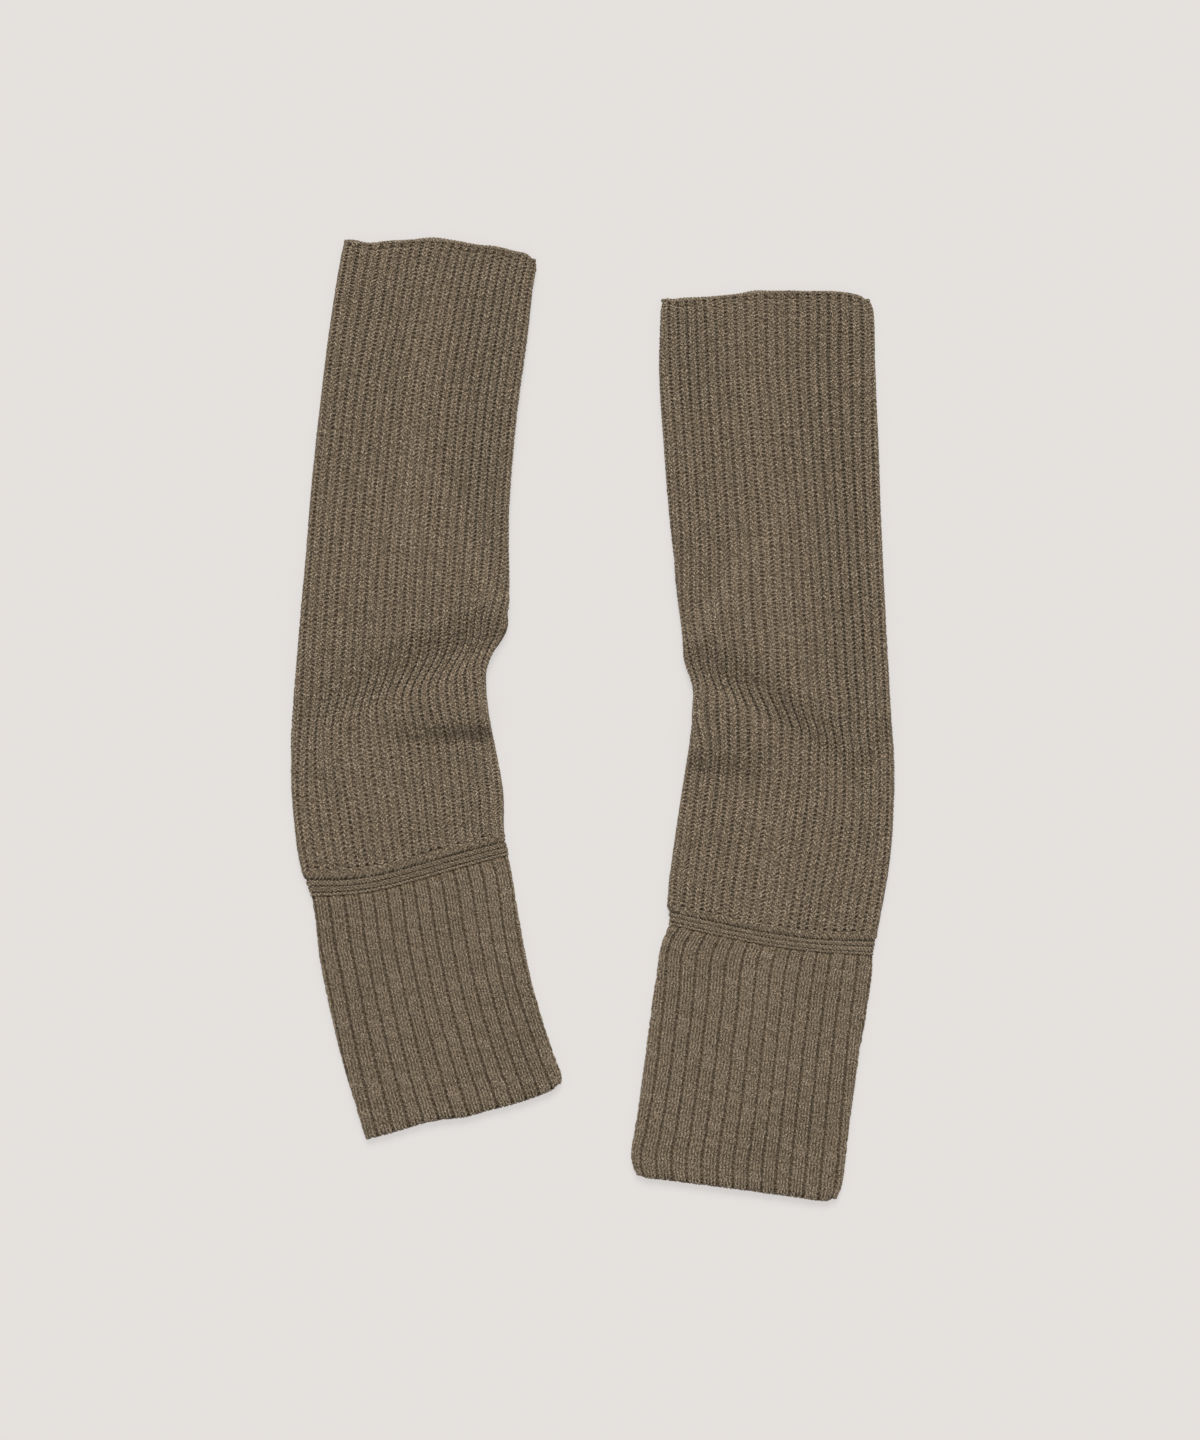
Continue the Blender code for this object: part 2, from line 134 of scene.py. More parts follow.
# Ribs sway from an even spacing: to the right, at five places across, at a distance s from the rim.
Sway = namedtuple("Sway", "s left half_left middle half_right right")
LEFT_SWAYS = (
    Sway(0, 0, 4.5, 7.5, 5.5, 3),
    Sway(40, 0, 4.5, 4, 3.5, 1),
    Sway(80, 0, 2, 2, 2, 0),
    Sway(140, 0, 1.5, 2, 2, 0),
    Sway(200, 0, 0.5, 0.5, 0, -2.5),
    Sway(232, 0.5, 1, 0.5, -1.5, -8),
    Sway(262, 1.5, 1, -2, -2.5, -2),
    Sway(296, 2.5, 0.5, 2.5, 2, -2.5),
    Sway(325, 0, 2, 3, 0, -4),
    Sway(362, 0.5, 1.5, 1, -1, -3.5),
    Sway(382, -1.5, 0.5, 0.5, 0.5, -1),
    Sway(430, 0, 1, 1, 1, -1.5),
    Sway(480, -2, 0.5, 1.5, 1.5, 0),
    Sway(524, -5, -1, 0.5, 2, 1),
)
RIGHT_SWAYS = (
    Sway(0, -0.5, -3, -2, 0, 2),
    Sway(40, 1, -1, -1.5, -1, 2),
    Sway(80, 1.5, -1, -0.5, -1, 0),
    Sway(140, 0.5, -1, 1, 0, -0.5),
    Sway(200, -3.5, -4, -0.5, 0, -0.5),
    Sway(224, -1, -2.5, -0.5, 0, -0.5),
    Sway(246, -4, -3, 1.5, 1.5, -1),
    Sway(272, 1.5, -2, -0.5, -1.5, -1),
    Sway(308, 3, 1, 0, -1, -1),
    Sway(350, 4, 3, 4, 1, 0),
    Sway(371, 4, 2.5, 3.5, 1, 0),
    Sway(390, -1.5, -1.5, 0, -1, -1.5),
    Sway(430, -0.5, -0.5, 0.5, -1, -1.5),
    Sway(470, 1, 0.5, 2, 0.5, 1),
    Sway(537, -2.5, -0.5, 2, 2, 4),
)

# The ribs' step sideways below the diagonal fold.
Slip = namedtuple(
    "Slip", "from_x from_y to_x to_y start middle end rise hold start_fade end_fade"
)
LEFT_SLIP = Slip(-52.5, 44.4, -180, -2, -13, -7.8, 0, 30, 17, 100, 125)
RIGHT_SLIP = Slip(52, 29.4, 178, -22, 7.2, 8, 0, 26, 32, 107, 100)

# A crease lifts the upper layer along a line, and a negative lift presses it down.
Crease = namedtuple("Crease", "from_x from_y to_x to_y lift half_width")
LEFT_CREASES = (
    Crease(-64, 26, -118, 6, 0.6, 10),
    Crease(-72, 50, -118, 30, -1.3, 9),
    Crease(-62, 4, -92, 0.5, 0.6, 6),
    Crease(-150, -30, -100, -62, 0.8, 14),
)
RIGHT_CREASES = (
    Crease(64, 18, 104, -8, 0.6, 9.5),
    Crease(63, 40, 116, 2, -1.3, 8),
    Crease(92, 44, 140, 6, 1.3, 10),
    Crease(62, -14, 98, -28, -0.8, 6),
    Crease(90, -62, 145, -82, 0.8, 14),
)

# A fold runs along the bottom of a valley. On the left-hand side of its way the cloth climbs over
# the steep distance, by a lift that changes from one end to the other, and sinks again over fade.
Fold = namedtuple("Fold", "from_x from_y to_x to_y from_lift to_lift steep fade")
LEFT_FOLDS = (
    Fold(-166, -4, -55, 46, 3.4, 8.6, 29, 110),
    Fold(-55, 48, -166, -2, 0.8, 0.6, 14, 30),
    Fold(-112, -15, -57, -12.5, 3.4, 7.6, 13.5, 44),
)
RIGHT_FOLDS = (
    Fold(57, 34, 149, -30, 7, 4.4, 22, 120),
    Fold(149, -30, 57, 34, 0.6, 0.3, 12, 34),
    Fold(59, -33, 92, -38, 6.6, 4.4, 18, 46),
)
FOLD_END = 14  # how far past its ends a fold dies away

# Along these lines the grooves are pulled open, or pressed deeper where the lift is negative. The
# lift is the share of a groove's depth that goes. The yarn there gets painted light where the
# grooves open and painted shade where they are pressed deeper.
OPEN_PAINTED_LIGHT = 2.2
LEFT_OPENINGS = (
    Crease(-97, 265, -112, 105, 0.45, 9),
    Crease(-137, -20, -130, -46, 0.4, 20),
    Crease(-62, 24, -106, 12, -0.45, 14),
    Crease(-64, 240, -70, 120, -0.35, 16),
    Crease(-160, -110, -135, -215, -0.5, 14),
    Crease(-50, -205, -40, -160, -0.5, 18),
)
RIGHT_OPENINGS = (
    Crease(92, 245, 114, 55, 0.4, 9),
    Crease(108, -60, 96, -175, 0.45, 14),
    Crease(64, 4, 88, -12, -0.65, 14),
    Crease(146, 240, 158, 10, -0.6, 18),
    Crease(58, 238, 64, 200, -0.5, 12),
    Crease(140, -235, 100, -255, -0.5, 18),
)

# The rim's edge and the cuff's foot stray from their even bows by out, in mm towards the rim, round
# the share at. The lower layer's edge shows from behind the upper one's where it peeks out.
EdgeWave = namedtuple("EdgeWave", "at half_width out")
LEFT_EDGE = (
    EdgeWave(0.13, 0.07, -1.6),
    EdgeWave(0.42, 0.1, 1),
    EdgeWave(0.68, 0.08, -1.3),
    EdgeWave(0.94, 0.05, 1.4),
    EdgeWave(0.99, 0.02, -0.8),
)
RIGHT_EDGE = (
    EdgeWave(0.02, 0.022, 1.2),
    EdgeWave(0.3, 0.13, -0.7),
    EdgeWave(0.86, 0.11, 1.5),
    EdgeWave(0.99, 0.02, -1.3),
)
LEFT_FOOT = (EdgeWave(0.985, 0.03, 2), EdgeWave(0.3, 0.1, 0.9), EdgeWave(0.5, 0.07, -0.9))
RIGHT_FOOT = (EdgeWave(0.985, 0.032, 2.4), EdgeWave(0.015, 0.022, 1.2))
# How far the corners turn in, in mm: the rim's left and right and the foot's left and right.
Corners = namedtuple("Corners", "rim_left rim_right foot_left foot_right")
LEFT_CORNERS = Corners(0.3, 2.2, 0.4, 1.6)
RIGHT_CORNERS = Corners(1.2, 2.2, 1.6, 2)
CORNER_LENGTH, CORNER_WIDTH = 9, 0.05  # along in mm, and across as a share of the width
LEFT_PEEK = (EdgeWave(0.46, 0.09, 0.9),)
RIGHT_PEEK = (EdgeWave(0.45, 0.06, 0.9), EdgeWave(0.1, 0.06, 0.5))
EDGE_FADE, FOOT_FADE = 45, 22  # how far from the rim and the foot their waves reach
# The share of a groove's depth that goes at the rim, over the band and under it, and how far from
# there the grooves are whole.
RIM_CLOSED, RIM_FADE = 0.75, 11
BAND_CLOSED, BAND_FADE = 0.3, 6
CUFF_CLOSED, CUFF_FADE = 0.6, 5

Form = namedtuple("Form", "courses ribs sways slip creases folds openings edge foot corners peek")
FORMS = {
    "left": Form(
        LEFT_COURSES, LEFT_RIBS, LEFT_SWAYS, LEFT_SLIP, LEFT_CREASES, LEFT_FOLDS, LEFT_OPENINGS,
        LEFT_EDGE, LEFT_FOOT, LEFT_CORNERS, LEFT_PEEK,
    ),
    "right": Form(
        RIGHT_COURSES, RIGHT_RIBS, RIGHT_SWAYS, RIGHT_SLIP, RIGHT_CREASES, RIGHT_FOLDS,
        RIGHT_OPENINGS, RIGHT_EDGE, RIGHT_FOOT, RIGHT_CORNERS, RIGHT_PEEK,
    ),
}

# --- The knitting ---

# A row of stitches is one strand of yarn. It repeats over a rib: across is the share of the
# rib's pitch from its groove, down is in rows towards the cuff, high is over the plain cloth in
# mm, thick is a share of the yarn's radius.
Knot = namedtuple("Knot", "across down high thick")
LEG_ARM = (
    Knot(0.12, -0.54, -0.38, 1),
    Knot(0.21, -0.74, 0.18, 1.15),
    Knot(0.28, -0.46, 0.5, 1.28),
    Knot(0.36, 0, 0.62, 1.28),
    Knot(0.45, 0.3, 0.62, 1.12),
)
LEG_STITCH = (
    Knot(0, -0.44, -0.68, 0.85),
    *LEG_ARM,
    *(knot._replace(across=1 - knot.across) for knot in reversed(LEG_ARM)),
)
# Half a stitch of the cuff from the middle of its column: a foot, a leg and the head that the
# next row hides. Two columns make a rib, and the second is half a row lower.
CUFF_LEG = (
    Knot(-0.19, 0.72, -1.1, 0.6),
    Knot(-0.105, 0.74, 0, 0.85),
    Knot(-0.088, 0.45, 0.42, 1),
    Knot(-0.105, 0.05, 0.55, 1.08),
    Knot(-0.118, -0.35, 0.48, 1.05),
    Knot(-0.092, -0.72, 0.2, 0.9),
    Knot(0, -0.88, -0.1, 0.8),
)
CUFF_COLUMNS = ((0.355, 0), (0.765, 0.5))
# The cloth's height over its plain side, by the share of a rib's pitch from its groove.
LEG_RIB = (
    (0, -0.7), (0.09, -0.6), (0.2, 0.35), (0.28, 0.75), (0.5, 0.92), (0.72, 0.75),
    (0.8, 0.35), (0.91, -0.6), (1, -0.7),
)
CUFF_RIB = (
    (0, -0.5), (0.05, -0.6), (0.11, -0.25), (0.17, 0.15), (0.25, 0.45), (0.355, 0.38),
    (0.46, 0.45), (0.56, -0.15), (0.66, 0.45), (0.765, 0.38), (0.87, 0.45), (0.93, 0.2),
    (0.98, -0.3), (1, -0.5),
)
# How tall a row of the stretch is, in mm, at distances s from the rim.
LEG_ROWS = ((0, 2.1), (60, 2.35), (110, 2.46), (372, 2.44))
CUFF_ROWS = ((375, 3.5), (430, 3.38), (540, 3.12))
RIM_ROWS = (1.85, 3.95)  # where the rim's two rows are
LEG_TOP, LEG_FOOT = 0.55, 0.65  # how far before its two ends the leg's rows start and stop
LEG_YARN, CUFF_YARN, BAND_YARN, RIM_YARN = 0.68, 0.53, 0.46, 0.5  # radii
YARN_ARC = (-1.8, -0.6, 0.6, 1.8)  # the corners of a strand's open arc, in radians from its top
END_ROOM = 0.3  # the least distance of a strand from its stretch's ends, in its own radii
POINT_TONE = 0.6  # how much the yarn's tone varies along an arm, as a share of that between arms
# How far a stitch strays by itself, down in rows and across in ribs, how far a whole rib drifts
# down in rows and how many rows it takes, and how much the thickness varies.
STRAY_DOWN, STRAY_ACROSS = 0.09, 0.018
DRIFT_DOWN, DRIFT_REACH, STRAY_THICK = 0.2, 6, 0.07

# The bottoms of the valleys between the band's ridges, as shares of its length, and how far into
# their ridges the band starts, passes them and ends. The leg's ribs end in the first ridge, by the
# share BAND_MERGE, with slanted bars at their foot, and the others have small waves.
BAND_VALLEYS = (0.41, 0.63, 0.87)
RIDGE_PLACES = (0.35, 1, 2, 3, 3.6)
RIDGE_FOOT, RIDGE_HEIGHT = -0.5, 0.92
BAND_MERGE = 0.4
BAR_PITCH, WAVE_PITCH, RIM_PITCH = 1.55, 2.2, 2.2
WAVE_STEPS = 8  # points to a wave
# The points of a bar from its top to its foot, how high they are over the cloth and how thick.
BAR_AT = (0, 0.12, 0.35, 0.65, 0.88, 1)
BAR_HIGH = (-0.35, 0.2, 0.4, 0.45, 0.4, -0.1)
BAR_THICK = (0.6, 0.9, 1.05, 1.05, 0.9, 0.6)
BAND_SLANT = {"left": 3.2, "right": -3.2}  # how far a bar runs to the right as it goes up, in mm
WRAP = 0.055  # how far a row runs round each folded side, as a share of the width


def smooth(value):
    """0 below 0, 1 above 1, and an even S between them."""
    value = np.clip(value, 0, 1)
    return value * value * (3 - 2 * value)


class Curves:
    """A smooth curve through each of a table's columns."""

    def __init__(self, places, rows):
        self.places = np.array(places, float)
        self.rows = np.array(rows, float)
        gaps = np.diff(self.places)[:, None]
        rates = np.diff(self.rows, axis=0) / gaps
        inner = (rates[:-1] * gaps[1:] + rates[1:] * gaps[:-1]) / (gaps[:-1] + gaps[1:])
        self.slopes = np.vstack([rates[:1], inner, rates[-1:]])

    def at(self, place):
        """Every column's value, in a last axis of its own."""
        place = np.asarray(place, float)
        i = np.clip(np.searchsorted(self.places, place, "right") - 1, 0, len(self.places) - 2)
        gap = (self.places[i + 1] - self.places[i])[..., None]
        t = (place - self.places[i])[..., None] / gap
        return (
            self.rows[i] * (1 + 2 * t) * (1 - t) ** 2
            + self.rows[i + 1] * t * t * (3 - 2 * t)
            + gap * (self.slopes[i] * t * (1 - t) ** 2 - self.slopes[i + 1] * t * t * (1 - t))
        )


def raised(creases, x, y):
    """What creases add at a place over the ground."""
    total = np.zeros_like(x)
    for crease in creases:
        run_x, run_y = crease.to_x - crease.from_x, crease.to_y - crease.from_y
        t = (x - crease.from_x) * run_x + (y - crease.from_y) * run_y
        t = np.clip(t / (run_x * run_x + run_y * run_y), 0, 1)
        away = np.hypot(x - crease.from_x - t * run_x, y - crease.from_y - t * run_y)
        total += crease.lift * np.exp(-((away / crease.half_width) ** 2))
    return total


def folded(folds, x, y):
    """What folds add at a place over the ground."""
    total = np.zeros_like(x)
    for fold in folds:
        run_x, run_y = fold.to_x - fold.from_x, fold.to_y - fold.from_y
        long = math.hypot(run_x, run_y)
        along = ((x - fold.from_x) * run_x + (y - fold.from_y) * run_y) / long
        beside = ((y - fold.from_y) * run_x - (x - fold.from_x) * run_y) / long
        lift = fold.from_lift + (fold.to_lift - fold.from_lift) * smooth(along / long)
        past = np.maximum(-along, along - long)
        lift = lift * (1 - smooth(past / FOLD_END))
        sinks = smooth((beside - fold.steep) / fold.fade)
        total += lift * smooth(beside / fold.steep) * (1 - sinks)
    return total


def edge_wave(waves, u):
    """How far an edge's waves reach out at the share u, in mm."""
    total = np.zeros_like(u)
    for wave in waves:
        total = total + wave.out * np.exp(-(((u - wave.at) / wave.half_width) ** 2))
    return total


class Tube:
    """One flattened leg warmer."""

    def __init__(self, form):
        self.form = form
        courses, sways = form.courses, form.sways
        along = [0.0]
        for a, b in zip(courses, courses[1:]):
            left = math.hypot(b.left_x - a.left_x, b.left_y - a.left_y)
            right = math.hypot(b.right_x - a.right_x, b.right_y - a.right_y)
            along.append(along[-1] + (left + right) / 2)
        self.place = {c.name: s for c, s in zip(courses, along)}
        self.course = Curves(along, [c[1:] for c in courses])
        self.sways = Curves([sway.s for sway in sways], [sway[1:] for sway in sways])

    def ends(self, stretch):
        return self.place[stretch.start], self.place[stretch.end]

    def part_of(self, stretch, s):
        """How far along a stretch s is, as a share of its length."""
        start, end = self.ends(stretch)
        return (s - start) / (end - start)

    def ribs_of(self, stretch):
        """The ribs that a stretch has, which are the leg's if it has none of its own."""
        return self.form.ribs.get(stretch.name, self.form.ribs["leg"])

    def width(self, s):
        c = self.course.at(s)
        return np.hypot(c[..., 2] - c[..., 0], c[..., 3] - c[..., 1])

    def sway(self, share, s):
        """How far the ribs stand to the right of their even spacing, as a share of the width."""
        share, s = np.broadcast_arrays(share, s)
        across = self.sways.at(s)
        spot = np.clip(share, 0, 1) * (across.shape[-1] - 1)
        i = np.minimum(spot.astype(int), across.shape[-1] - 2)
        a = np.take_along_axis(across, i[..., None], -1)[..., 0]
        b = np.take_along_axis(across, i[..., None] + 1, -1)[..., 0]
        return (a + (b - a) * smooth(spot - i)) / self.width(s)

    def step_aside(self, x, y):
        """How far the ribs step to the right at a place over the ground."""
        slip = self.form.slip
        q = np.clip((x - slip.from_x) / (slip.to_x - slip.from_x), 0, 1)
        size = (
            slip.start * (1 - q) * (1 - 2 * q)
            + slip.middle * 4 * q * (1 - q)
            + slip.end * q * (2 * q - 1)
        )
        below = slip.from_y + (slip.to_y - slip.from_y) * q - y
        fade = slip.start_fade + (slip.end_fade - slip.start_fade) * q
        comes = smooth(below / slip.rise + 0.5)
        goes = smooth((below - slip.hold) / (fade - slip.hold))
        return size * comes * (1 - goes)

    def ground(self, u, s):
        """The place over the ground at the share u of the course at s, and the way across."""
        left_x, left_y, right_x, right_y, bow, bow_at = np.moveaxis(self.course.at(s), -1, 0)
        across_x, across_y = right_x - left_x, right_y - left_y
        length = np.hypot(across_x, across_y)
        way_x, way_y = across_x / length, across_y / length
        wave = np.sin(math.pi * np.clip(u, 0, 1))
        bow = bow * np.sin(math.pi * (u + (0.5 - bow_at) * wave / np.sin(math.pi * bow_at)))
        bow = bow + edge_wave(self.form.edge, u) * (1 - smooth(s / EDGE_FADE))
        to_foot = self.place["cuff_end"] - s
        bow = bow + edge_wave(self.form.foot, u) * (1 - smooth(to_foot / FOOT_FADE))
        x = left_x + across_x * u - bow * way_y
        y = left_y + across_y * u + bow * way_x
        at_rim = (1 - smooth(s / CORNER_LENGTH)) ** 2
        at_foot = (1 - smooth(to_foot / CORNER_LENGTH)) ** 2
        corners = self.form.corners
        from_left = corners.rim_left * at_rim + corners.foot_left * at_foot
        from_right = corners.rim_right * at_rim + corners.foot_right * at_foot
        turn_in = from_left * np.exp(-((u / CORNER_WIDTH) ** 2))
        turn_in = turn_in - from_right * np.exp(-(((1 - u) / CORNER_WIDTH) ** 2))
        x = x + way_x * turn_in
        y = y + way_y * turn_in
        return x + self.step_aside(x, y), y, way_x, way_y

    def ceiling(self, u, x, y):
        opened = SLIT + LOFT * np.sin(math.pi * np.clip(u, 0, 1)) + raised(self.form.creases, x, y)
        return UNDER_WALL + np.maximum(opened, LEAST_SLIT) + folded(self.form.folds, x, y)

    def opened(self, share, s):
        """How far the grooves are pulled open at a place."""
        x, y, _, _ = self.ground(np.clip(share, 0, 1), s)
        return raised(self.form.openings, x, y)

    def dished(self, high, share, s):
        """The height high with the grooves pulled open or closed up at that place."""
        gone = self.opened(share, s) + RIM_CLOSED * (1 - smooth(s / RIM_FADE))
        near_band = smooth((s - self.place["leg_end"]) / BAND_FADE + 1)
        gone = gone + BAND_CLOSED * near_band * (s < self.place["band_end"])
        past_band = s - self.place["band_end"]
        gone = gone + CUFF_CLOSED * (1 - smooth(past_band / CUFF_FADE)) * (past_band >= 0)
        return high + gone * np.clip(GROOVE_TOP - high, 0.0, GROOVE_DEPTH)

    def top(self, u, s, upper_wall):
        """The place of the plain upper side over the ground, its height and the way across."""
        x, y, way_x, way_y = self.ground(u, s)
        top = self.ceiling(u, x, y) + upper_wall
        top = top - LIP_DROP * (1 - smooth(s / RIM_LIP))
        top = top - LIP_DROP * (1 - smooth((self.place["cuff_end"] - s) / CUFF_LIP))
        return x, y, top, way_x, way_y

    def edge(self, s, upper_wall):
        """How far the skin runs past each end of a course, to the underside, in shares."""
        wide = self.width(s)
        fold = FOLD_REACH / wide
        ends = []
        for u in (fold, 1 - fold):
            _, _, top, _, _ = self.top(u, s, upper_wall)
            ends.append(math.pi * (FOLD_REACH + top / 2) / 2 / wide - fold)
        return ends

    def skin(self, p, s, high, upper_wall):
        """Points high over the wall's plain outer side, and which way is out there.

        p is the share across, and it runs on round the folded sides below 0 and over 1.
        """
        p, s, high = np.broadcast_arrays(p, s, high)
        wide = self.width(s)
        fold = FOLD_REACH / wide
        u = np.clip(p, fold, 1 - fold)
        x, y, top, way_x, way_y = self.top(u, s, upper_wall)
        past = (p - u) * wide  # in mm, and negative on the left
        turn = np.minimum(np.abs(past) / ((FOLD_REACH + top / 2) / 2), math.pi)
        tuck = smooth((turn / math.pi - TUCK_FROM) / TUCK_OVER)
        high = high * (1 - tuck) - TUCK_DEPTH * tuck
        aside = np.sign(past) * np.sin(turn)
        out = aside * (FOLD_REACH + high)
        z = np.where(turn == 0, top + high, top / 2 + (top / 2 + high) * np.cos(turn))
        place = np.stack([x + way_x * out, y + way_y * out, z], -1)
        normal = np.stack([way_x * aside, way_y * aside, np.cos(turn)], -1)
        return place, normal

    def rib_place(self, ribs, share, s):
        """Where the share across lies in ribs, counted from the first groove."""
        even = share
        for _ in range(4):
            even = share - self.sway(even, s)
        return (even - ribs.first) / ribs.pitch


def soft_noise(rng, rows, columns, reach):
    """Random values of about 1 that are alike over a few rows."""
    grid = rng.normal(0, 1, (rows + 4 * reach, columns))
    kernel = np.hanning(2 * reach + 3)[1:-1]
    kernel /= math.sqrt((kernel**2).sum())
    grid = np.apply_along_axis(lambda line: np.convolve(line, kernel, "same"), 0, grid)
    return grid[2 * reach : 2 * reach + rows]


def linked(name, data):
    """A new object in the scene."""
    made = bpy.data.objects.new(name, data)
    bpy.context.scene.collection.objects.link(made)
    return made


def mesh_object(name, verts, faces, material, maps, tone=None):
    """A mesh from arrays of points in mm and faces of 4 corners, with its UV maps."""
    me = bpy.data.meshes.new(name)
    count, sides = faces.shape
    me.vertices.add(len(verts))
    me.vertices.foreach_set("co", (verts * MM).astype(np.float32).ravel())
    me.loops.add(count * sides)
    me.loops.foreach_set("vertex_index", faces.astype(np.int32).ravel())
    me.polygons.add(count)
    me.polygons.foreach_set("loop_start", np.arange(0, count * sides, sides, dtype=np.int32))
    me.polygons.foreach_set("use_smooth", np.ones(count, bool))
    for map_name, uv in maps.items():
        layer = me.uv_layers.new(name=map_name)
        layer.uv.foreach_set("vector", uv.astype(np.float32).ravel())
    if tone is not None:
        layer = me.attributes.new("tone", "FLOAT", "POINT")
        layer.data.foreach_set("value", tone.astype(np.float32))
    me.update(calc_edges=True)
    me.materials.append(material)
    return linked(name, me)


def unit(vectors):
    return vectors / np.maximum(np.linalg.norm(vectors, axis=-1, keepdims=True), 1e-6)


def strand_mesh(name, paths, normals, radius, tone, material):
    """Strands of yarn along paths (strand, point, xyz), with a tone for each point."""
    strands, n, _ = paths.shape
    ahead = np.empty_like(paths)
    ahead[:, 1:-1] = paths[:, 2:] - paths[:, :-2]
    ahead[:, 0] = paths[:, 1] - paths[:, 0]
    ahead[:, -1] = paths[:, -1] - paths[:, -2]
    ahead = unit(ahead)
    beside = unit(np.cross(ahead, normals))
    over = np.cross(beside, ahead)
    arc = np.array(YARN_ARC)[:, None]
    sides = len(YARN_ARC)
    ring = np.sin(arc) * beside[:, :, None] + np.cos(arc) * over[:, :, None]
    verts = (paths[:, :, None] + radius[:, :, None, None] * ring).reshape(-1, 3)
    verts[:, 2] = np.maximum(verts[:, 2], REST)
    index = np.arange(strands * n * sides).reshape(strands, n, sides)
    faces = np.stack(
        [index[:, :-1, :-1], index[:, :-1, 1:], index[:, 1:, 1:], index[:, 1:, :-1]], -1
    ).reshape(-1, 4)
    # One map runs round the yarn and along it in mm, each strand far from the next. The other
    # lays the strands side by side to fill a square.
    steps = np.linalg.norm(np.diff(paths, axis=1), axis=-1)
    run = np.concatenate([np.zeros((strands, 1)), steps.cumsum(1)], 1)
    round_it = np.linspace(0, 1, sides)
    along = run + np.arange(strands)[:, None] * 37.7
    columns = max(1, round(math.sqrt(strands * 3 / run[:, -1].mean())))
    lanes = -(-strands // columns)
    lane, column = np.arange(strands) % lanes, np.arange(strands) // lanes
    flat_u = (column[:, None] + 0.02 + 0.96 * run / run[:, -1:]) / columns
    flat_v = (lane[:, None, None] + 0.08 + 0.84 * round_it) / lanes
    flat = flat_u[:, :, None], flat_v
    maps = {}
    for map_name, (u, v) in {"yarn": (round_it, along[:, :, None]), "OFBake": flat}.items():
        u, v, _ = np.broadcast_arrays(u, v, index)
        maps[map_name] = np.stack([u, v], -1).reshape(-1, 2)[faces.ravel()]
    return mesh_object(name, verts, faces, material, maps, np.repeat(tone.reshape(-1), sides))


def row_places(table, start, end):
    """The distance s of every row's anchor between two ends."""
    places = []
    s = start
    at, tall = zip(*table)
    while s < end:
        s += float(np.interp(s, at, tall))
        places.append(s)
    # They are stretched or pressed a little, so that the last row ends at the end.
    places = np.array(places)
    return start + (places - start) * (end - start) / (places[-1] - start)


def row_table(rows):
    """The rows' numbers and their distances s, carried on by three rows past both ends."""
    first, last = rows[1] - rows[0], rows[-1] - rows[-2]
    index = np.concatenate([[-3], np.arange(len(rows)), [len(rows) + 2]])
    places = np.concatenate([[rows[0] - 3 * first], rows, [rows[-1] + 3 * last]])
    return index, places


def relief(profile, across):
    """A profile's height at a place in ribs."""
    at, high = zip(*profile)
    return np.interp(np.mod(across, 1.0), at, high)


def cuff_stitch():
    """The knots of a whole rib of the cuff."""
    knots = []
    for middle, lower in CUFF_COLUMNS:
        right_half = [knot._replace(across=-knot.across) for knot in CUFF_LEG[-2:0:-1]]
        for knot in CUFF_LEG + tuple(right_half):
            knots.append(knot._replace(across=middle + knot.across, down=knot.down + lower))
    return knots


def ridge_place(tube, stretch, s):
    """Where s lies in the band's ridges, counted from the first one's start."""
    return np.interp(tube.part_of(stretch, s), (0, *BAND_VALLEYS, 1), RIDGE_PLACES)


def band_height(tube, stretch, share, s):
    """The height of the band's cloth over its plain side."""
    inside = np.mod(ridge_place(tube, stretch, s), 1.0)
    ridge = RIDGE_FOOT + RIDGE_HEIGHT * np.sin(math.pi * inside) ** 0.5
    merge = 1 - smooth(tube.part_of(stretch, s) / BAND_MERGE)
    ribs = relief(LEG_RIB, tube.rib_place(tube.form.ribs["leg"], share, s))
    return ridge + (ribs - ridge) * merge


def settled(tube, stretch, share, s, yarn):
    """Shares moved by the ribs' sway, and distances kept between the stretch's ends."""
    start, end = tube.ends(stretch)
    s = np.clip(s, start + yarn * END_ROOM, end - yarn * END_ROOM)
    return share + tube.sway(share, s), s


